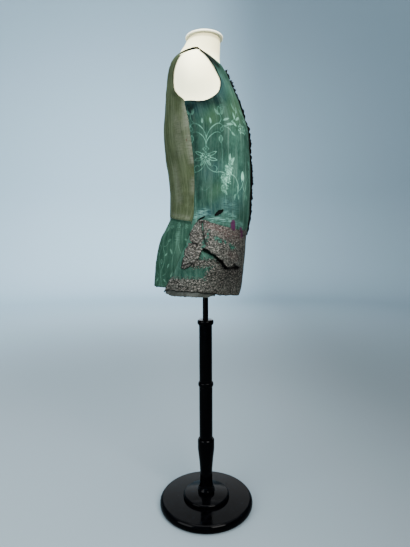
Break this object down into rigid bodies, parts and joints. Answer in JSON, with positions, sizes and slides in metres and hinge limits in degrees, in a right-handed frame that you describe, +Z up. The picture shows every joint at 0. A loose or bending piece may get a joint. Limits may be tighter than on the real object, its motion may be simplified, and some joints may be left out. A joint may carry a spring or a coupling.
{
  "type": "waistcoat on a limbless dress form and stand",
  "caption": "Long sleeveless waistcoat with flared skirts and lobed pocket flaps, worn by a limbless dress form on a round-based height-adjustable stand.",
  "frame": {"origin": "centre of the base's underside, on the floor, below the pole", "axes": "+Z up along the pole, +X towards the wearer's front, -Y towards the wearer's right side"},
  "size_m": [0.3317, 0.3794, 1.58],
  "materials": {
    "figured_silk": "blue-green figured silk with a paler woven vine, worn in vertical streaks",
    "khaki_satin": "faded khaki satin with upright streaks and a paler side",
    "skirt_silk": "deep green figured silk with a sparse paler vine",
    "metal_brocade": "tarnished silver-gilt brocade, grainy, pink-grey to brown",
    "dark_facing": "near-black matt facing",
    "pale_lining": "grey-beige plain lining, soft and soiled",
    "button_dark": "small dark covered buttons",
    "form_cream": "cream jersey stretched over a smooth form",
    "cap_white": "white painted neck cap, softly glossy",
    "black_steel": "black lacquered steel rod",
    "black_lacquer": "turned wood in glossy black lacquer"
  },
  "bodies": {
    "stand": {"base": "black_lacquer", "raised_disc": "black_lacquer", "column_vase": "black_lacquer", "lower_tube": "black_lacquer", "mid_ring": "black_lacquer", "upper_tube": "black_lacquer", "clamp_ring": "black_lacquer"},
    "rod": {"rod": "black_steel"},
    "form": {"form_socket": "black_lacquer", "dress_form": "form_cream", "neck_cap": "cap_white", "front_right": "figured_silk", "front_left": "figured_silk", "back_right": "khaki_satin", "back_left": "khaki_satin", "back_skirt_right": "skirt_silk", "back_skirt_left": "skirt_silk", "pocket_flap_right": "metal_brocade", "pocket_flap_left": "metal_brocade", "pocket_bag_right": "dark_facing", "hem_lining_right": "pale_lining", "closing_facing": "dark_facing", "button_01": "button_dark", "button_02": "button_dark", "button_03": "button_dark", "button_04": "button_dark", "button_05": "button_dark", "button_06": "button_dark", "button_07": "button_dark", "button_08": "button_dark", "button_09": "button_dark", "button_10": "button_dark", "button_11": "button_dark", "button_12": "button_dark"}
  },
  "joints": [
    {"name": "height_slide", "type": "slide", "parent": "stand", "child": "rod", "axis": [0, 0, 1], "range_m": [-0.1, 0.1]},
    {"name": "form_turn", "type": "hinge", "parent": "rod", "child": "form", "pos_m": [0, 0, 0.79], "axis": [0, 0, 1], "continuous": true}
  ]
}
